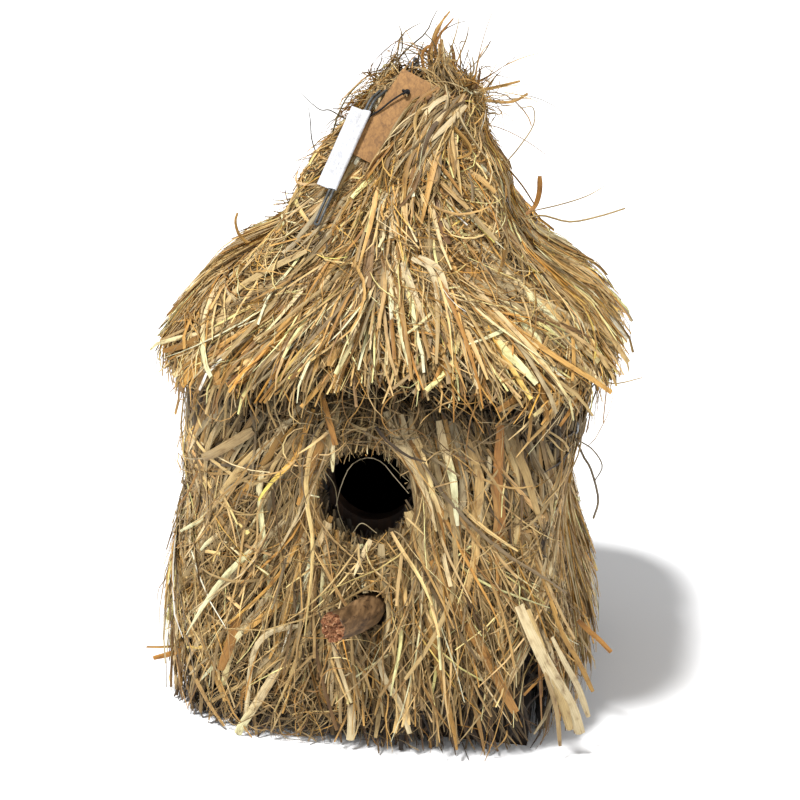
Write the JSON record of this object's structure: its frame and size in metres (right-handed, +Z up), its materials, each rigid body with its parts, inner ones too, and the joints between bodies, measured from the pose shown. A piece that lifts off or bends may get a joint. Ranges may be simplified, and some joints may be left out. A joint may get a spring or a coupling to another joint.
{
  "type": "thatched nest box",
  "caption": "Hanging bird nest box: a square board box under a steep roof, thatched all over with straw, with a round entrance, a branch perch and a wire hanger.",
  "frame": {"origin": "centre of the floor board's underside", "axes": "+Z up; the entrance and perch face -Y; +X is to the right seen from the front"},
  "size_m": [0.212, 0.2352, 0.335],
  "materials": {
    "board_wood": "matte",
    "wall_straw": "matte",
    "roof_straw": "matte",
    "branch_wood": "matte",
    "galvanised_steel": "satin",
    "binding_wire": "satin",
    "coated_wire": "matte",
    "label_paper": "satin",
    "brown_card": "matte",
    "black_thread": "matte"
  },
  "bodies": {
    "house": {"apex_block": "board_wood", "back_lower_roof_straw": "roof_straw", "back_roof_board": "board_wood", "back_upper_roof_straw": "roof_straw", "back_wall": "board_wood", "back_wall_straw": "wall_straw", "crown_binding": "binding_wire", "crown_tuft": "roof_straw", "eave_binding": "binding_wire", "floor_board": "board_wood", "floor_nails": "galvanised_steel", "front_lower_roof_straw": "roof_straw", "front_roof_board": "board_wood", "front_upper_roof_straw": "roof_straw", "front_wall": "board_wood", "front_wall_straw": "wall_straw", "left_lower_roof_straw": "roof_straw", "left_roof_board": "board_wood", "left_upper_roof_straw": "roof_straw", "left_wall": "board_wood", "left_wall_straw": "wall_straw", "perch": "branch_wood", "right_lower_roof_straw": "roof_straw", "right_roof_board": "board_wood", "right_upper_roof_straw": "roof_straw", "right_wall": "board_wood", "right_wall_straw": "wall_straw", "roof_nails": "galvanised_steel", "screw_eye": "galvanised_steel", "staples": "galvanised_steel", "swing_tag": "brown_card", "tag_knot": "black_thread", "tag_string": "black_thread", "wall_binding": "binding_wire", "wall_nails": "galvanised_steel"},
    "hanger": {"hanger_loop": "coated_wire", "price_label": "label_paper"}
  },
  "joints": [
    {"name": "hanger_swing", "type": "hinge", "parent": "house", "child": "hanger", "pos_m": [0, 0, 0.308], "axis": [-0.8969, 0.4423, 0], "range_deg": [0, 132]}
  ]
}
